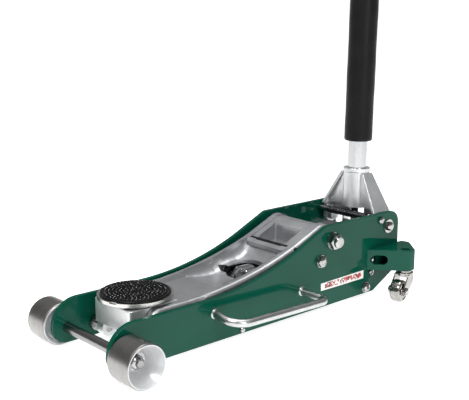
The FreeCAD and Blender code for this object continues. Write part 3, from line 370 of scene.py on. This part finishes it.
def label_print():
    """A white film with random red and charcoal blocks, and no lettering."""
    material, tree, shader = blank_material("label_print")
    low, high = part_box("side_labels")
    place = at_point(tree, (low.x, 0, (low.z + high.z) / 2))
    x, _, z = split(tree, place)[:3]
    slant = math(tree, "ADD", x, math(tree, "MULTIPLY", z, LABEL_SLANT))
    cell = tree.nodes.new("ShaderNodeCombineXYZ")
    tree.links.new(math(tree, "FLOOR", math(tree, "MULTIPLY", slant, BLOCKS_ALONG)), cell.inputs[0])
    tree.links.new(math(tree, "FLOOR", math(tree, "MULTIPLY", z, BLOCKS_UP)), cell.inputs[1])
    chance = tree.nodes.new("ShaderNodeTexWhiteNoise")
    tree.links.new(cell.outputs[0], chance.inputs["Vector"])
    in_height = math(tree, "LESS_THAN", math(tree, "ABSOLUTE", z), PRINT_HALF_HEIGHT)
    inked = math(tree, "LESS_THAN", chance.outputs["Value"], PRINT_SHARE)
    inside = math(tree, "MULTIPLY", in_height, inked)
    inside = math(tree, "MULTIPLY", inside, math(tree, "GREATER_THAN", x, PRINT_START))
    inside = math(tree, "MULTIPLY", inside, math(tree, "LESS_THAN", x, PRINT_END))
    tone = noise(tree, at_point(tree, stretch=(1, 0, 0)), 52.0, 0.0)
    ink = ramp(tree, tone, (0.44, (0.45, 0.035, 0.045)), (0.47, CHARCOAL), (0.54, CHARCOAL),
               (0.57, (0.50, 0.07, 0.07)))
    tree.links.new(mixed(tree, inside, (0.78, 0.77, 0.74), ink), shader.inputs["Base Color"])
    shader.inputs["Coat Weight"].default_value = 0.5
    shader.inputs["Coat Roughness"].default_value = 0.15
    tree.links.new(ramp(tree, noise(tree, place, 300.0), (0.3, 0.38), (0.7, 0.5)),
                   shader.inputs["Roughness"])
    return material


# ---------------------------------------------------------------- mesh helpers
PIECE_SHARP_DEG, NODE_SHARP_DEG = 35, 30


def mesh_object(name, bm):
    """Turns a finished bmesh into an object with smooth shading between its sharp edges."""
    mesh = bpy.data.meshes.new(name)
    bmesh.ops.recalc_face_normals(bm, faces=bm.faces)
    bm.to_mesh(mesh)
    bm.free()
    obj = bpy.data.objects.new(name, mesh)
    bpy.context.scene.collection.objects.link(obj)
    mesh.shade_smooth()
    mesh.set_sharp_from_angle(angle=radians(PIECE_SHARP_DEG))
    return obj


def lathe(bm, profile, turns=96, wobble=None):
    """A turned form from a closed loop of (height, radius) points."""
    rings = []
    for k in range(turns):
        a = 2 * pi * k / turns
        ring = []
        for h, r in profile:
            extra = wobble(h, a) if wobble else 0.0
            ring.append(bm.verts.new(((r + extra) * cos(a), (r + extra) * sin(a), h)))
        rings.append(ring)
    count = len(profile)
    for k in range(turns):
        a, b = rings[k], rings[(k + 1) % turns]
        for i in range(count):
            j = (i + 1) % count
            bm.faces.new((a[i], b[i], b[j], a[j]))


NUB_SIDES, NUB_LOOPS = 10, 3


def dome(bm, x, y, z, radius, height):
    """A small round nub standing on a level face, closed underneath."""
    loops = []
    for s in range(NUB_LOOPS):
        t = s / NUB_LOOPS * pi / 2
        loops.append([bm.verts.new((x + radius * cos(t) * cos(2 * pi * k / NUB_SIDES),
                                    y + radius * cos(t) * sin(2 * pi * k / NUB_SIDES),
                                    z + height * sin(t))) for k in range(NUB_SIDES)])
    top = bm.verts.new((x, y, z + height))
    bottom = bm.verts.new((x, y, z - radius * 0.3))
    for k in range(NUB_SIDES):
        n = (k + 1) % NUB_SIDES
        bm.faces.new((bottom, loops[0][n], loops[0][k]))
        for low, high in zip(loops, loops[1:]):
            bm.faces.new((low[k], low[n], high[n], high[k]))
        bm.faces.new((loops[-1][k], loops[-1][n], top))


def along_handle(obj):
    """Stands a piece, drawn up the Z axis from the yoke's pivot, on the leaning handle."""
    turn = Vector((0, 0, 1)).rotation_difference(handle_axis).to_matrix().to_4x4()
    obj.data.transform(Matrix.Translation(handle_foot) @ turn)


def height_on_handle(node):
    """How far up the handle's axis a node starts and ends."""
    values = [(v.co - handle_foot).dot(handle_axis) for v in nodes[node].data.vertices]
    return min(values), max(values)


def radius_on_handle(node):
    """A node's outer radius about the handle's axis."""
    reach = 0.0
    for v in nodes[node].data.vertices:
        offset = v.co - handle_foot
        reach = max(reach, (offset - handle_axis * offset.dot(handle_axis)).length)
    return reach


# ---------------------------------------------------------------- detailed pieces
NUB_R, NUB_HEIGHT, NUB_SPACING = 1.9 * MM, 2.4 * MM, 5.6 * MM
NUB_RING_TWIST = 0.4


def saddle_pad():
    """The rubber pad with its rings of moulded nubs."""
    bm = bmesh.new()
    radius = (pad_high.x - pad_low.x) / 2
    low, high = pad_low.z, pad_high.z
    lip = 1.3 * MM
    profile = [(low, AXIS_R), (low, radius), (high - 2 * MM, radius),
               (high - 0.9 * MM, radius - 0.3 * MM), (high - 0.1 * MM, radius - 1.2 * MM),
               (high, radius - 2.4 * MM), (high, radius - 3.4 * MM),
               (high - lip, radius - 4.2 * MM), (high - lip, AXIS_R)]
    lathe(bm, profile, 128)
    rings = int((radius - 6.5 * MM) / NUB_SPACING)
    for ring in range(rings + 1):
        count = 1 if ring == 0 else 6 * ring
        for k in range(count):
            a = 2 * pi * k / count + ring * NUB_RING_TWIST
            r = ring * NUB_SPACING
            dome(bm, r * cos(a), r * sin(a), high - lip, NUB_R, NUB_HEIGHT)
    obj = mesh_object("saddle_pad_detail", bm)
    obj.data.transform(Matrix.Translation((saddle.x, saddle.y, 0)))
    obj.data.materials.append(materials["pad_rubber"])
    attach(obj, "saddle")
    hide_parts("saddle_pad")


FOAM_WAVE = 0.16 * MM     # how far the foam's skin swells and sinks


def foam_sleeve():
    """The foam tube on the handle, very slightly uneven, with softly rounded ends."""
    low, high = height_on_handle("foam_sleeve")
    radius, bore = radius_on_handle("foam_sleeve"), radius_on_handle("handle_lower_tube")
    bm = bmesh.new()
    end = 3.2 * MM
    steps = 90
    profile = [(low, bore + 0.1 * MM), (low, radius - end), (low + end * 0.3, radius - end * 0.3)]
    profile += [(low + end + (high - low - 2 * end) * i / steps, radius) for i in range(steps + 1)]
    profile += [(high - end * 0.3, radius - end * 0.3), (high, radius - end),
                (high, bore + 0.1 * MM)]

    def wobble(h, a):
        return FOAM_WAVE * (sin(h * 61 + 2 * a) + 0.6 * sin(h * 143 - a + 1.3) - 1.6)

    lathe(bm, profile, 72, wobble)
    obj = mesh_object("foam_sleeve_detail", bm)
    along_handle(obj)
    obj.data.materials.append(materials["foam"])
    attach(obj, "handle")
    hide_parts("foam_sleeve")


def hand_grip():
    """The ribbed rubber grip that closes the handle's top."""
    low, high = height_on_handle("hand_grip")
    radius = radius_on_handle("hand_grip")
    bore = radius_on_handle("handle_upper_tube")
    tube_top = height_on_handle("handle_upper_tube")[1]
    bm = bmesh.new()
    profile = [(low, bore + 0.05 * MM), (low, radius - 1.0 * MM), (low + 1 * MM, radius),
               (low + 7 * MM, radius)]
    pitch, groove = 5.0 * MM, 0.9 * MM
    h = low + 8.5 * MM
    while h < high - 14 * MM:
        profile += [(h, radius - groove), (h + 0.9 * MM, radius - groove),
                    (h + 1.5 * MM, radius - 0.1 * MM), (h + 3.6 * MM, radius - 0.1 * MM)]
        h += pitch
    profile += [(high - 8 * MM, radius), (high - 2.5 * MM, radius - 0.4 * MM),
                (high - 0.7 * MM, radius - 1.6 * MM), (high, radius - 4.0 * MM),
                (high, GRIP_AXIS_R), (tube_top + 0.1 * MM, GRIP_AXIS_R),
                (tube_top + 0.1 * MM, bore + 0.05 * MM)]
    lathe(bm, profile, 72)
    obj = mesh_object("hand_grip_detail", bm)
    along_handle(obj)
    obj.data.materials.append(materials["rubber"])
    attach(obj, "handle")
    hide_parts("hand_grip")


def pump_springs():
    """The two plunger springs as finer coils; the real springs close up as the handle is pumped."""
    low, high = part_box("pump_springs")
    wire, turns, around, section = 1.05 * MM, 9, 28, 8
    outer = (high.z - low.z) / 2
    mean = outer - wire
    start, end = low.x + wire, high.x - wire
    middle_z = (low.z + high.z) / 2
    steps = turns * around
    bm = bmesh.new()
    for side in (-1, 1):
        middle_y = side * (high.y - outer)
        rings = []
        for k in range(steps + 1):
            turn = 2 * pi * k / around
            out = Vector((0, cos(turn), sin(turn)))
            centre = Vector((start + (end - start) * k / steps, middle_y, middle_z)) + out * mean
            rings.append([bm.verts.new(centre + (out * cos(a) + Vector((1, 0, 0)) * sin(a)) * wire)
                          for a in (2 * pi * i / section for i in range(section))])
        for a, b in zip(rings, rings[1:]):
            for i in range(section):
                j = (i + 1) % section
                bm.faces.new((a[i], a[j], b[j], b[i]))
        bm.faces.new(rings[0])
        bm.faces.new(list(reversed(rings[-1])))
    obj = mesh_object("pump_springs_detail", bm)
    obj.data.materials.append(materials["dark_steel"])
    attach(obj, "chassis")
    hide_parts("pump_springs")
    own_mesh(obj)


# ---------------------------------------------------------------- carried-over nodes
SOFT_EDGED = ("side_plate_left", "side_plate_right", "caster_bracket_left",
              "caster_bracket_right", "yoke", "saddle_bracket")
WORN_EDGE, WORN_EDGE_DEG = 0.7 * MM, 50


def finish_nodes():
    """Gives every CAD node its material, by the slot that the record names."""
    slots = {s["node"]: s["material_slot"] for s in frame["record"]["subparts"]}
    for name, obj in nodes.items():
        obj.data.materials.clear()
        obj.data.materials.append(materials.get(name) or materials[slots[name]])
        obj.data.shade_smooth()
        obj.data.set_sharp_from_angle(angle=radians(NODE_SHARP_DEG))
        if name in SOFT_EDGED:
            soften = obj.modifiers.new("worn_edges", "BEVEL")
            soften.width, soften.segments, soften.limit_method = WORN_EDGE, 2, "ANGLE"
            soften.angle_limit = radians(WORN_EDGE_DEG)
            soften.harden_normals = True


materials = {
    "green_paint": green_paint(),
    "cast_aluminium": cast_aluminium("cast_aluminium", (0.38, 0.39, 0.40), (0.50, 0.51, 0.52),
                                     0.28, 0.40),
    "yoke": cast_aluminium("yoke_cast", (0.60, 0.61, 0.62), (0.72, 0.73, 0.74), 0.34, 0.46),
    "saddle_bracket": cast_aluminium("bracket_cast", (0.66, 0.67, 0.67), (0.78, 0.79, 0.79),
                                     0.30, 0.40),
    "block_cast": cast_aluminium("block_cast", (0.12, 0.125, 0.13), (0.20, 0.205, 0.21),
                                 0.42, 0.6, 0.5),
    "wheel_steel": wheel_steel(),
    "saddle_steel": ringed_metal("saddle_steel", (saddle.x, 0, 0), "Z", (0.46, 0.45, 0.43),
                                 (0.66, 0.65, 0.63), 0.26),
    "tube_aluminium": plain_metal("tube_aluminium", (0.48, 0.49, 0.50), (0.53, 0.54, 0.55), 0.22,
                                  (1, 1, 0.04), 0.02, 160.0),
    "steel": plain_metal("steel", (0.24, 0.24, 0.24), (0.31, 0.31, 0.31), 0.22, (1, 0.1, 1), 0.02),
    "bar_steel": plain_metal("bar_steel", (0.44, 0.45, 0.45), (0.54, 0.55, 0.55), 0.30,
                             scratch=0.02),
    "dark_steel": plain_metal("dark_steel", (0.05, 0.05, 0.055), (0.08, 0.08, 0.085), 0.28,
                              scratch=0.02),
    "zinc": plain_metal("zinc", (0.30, 0.30, 0.29), (0.50, 0.50, 0.49), 0.14),
    "chrome": plain_metal("chrome", (0.40, 0.40, 0.41), (0.48, 0.48, 0.49), 0.12, scratch=0.02),
    "caster_chrome": plain_metal("caster_chrome", (0.24, 0.23, 0.22), (0.42, 0.41, 0.39), 0.14),
    "rubber": soft_black("rubber", (0.004, 0.004, 0.0045), (0.009, 0.009, 0.0095), 0.40, 900.0,
                         0.12, 0.0002, 0.25),
    "pad_rubber": pad_rubber(),
    "foam": soft_black("foam", (0.003, 0.003, 0.0035), (0.006, 0.006, 0.0065), 0.42, 2200.0,
                       0.12, 0.0003, 0.16),
    "label": label_print(),
}

scene = bpy.context.scene
scene.view_settings.view_transform = "Standard"
make_camera()
make_light()
make_floor()
finish_nodes()
saddle_pad()
foam_sleeve()
hand_grip()
pump_springs()
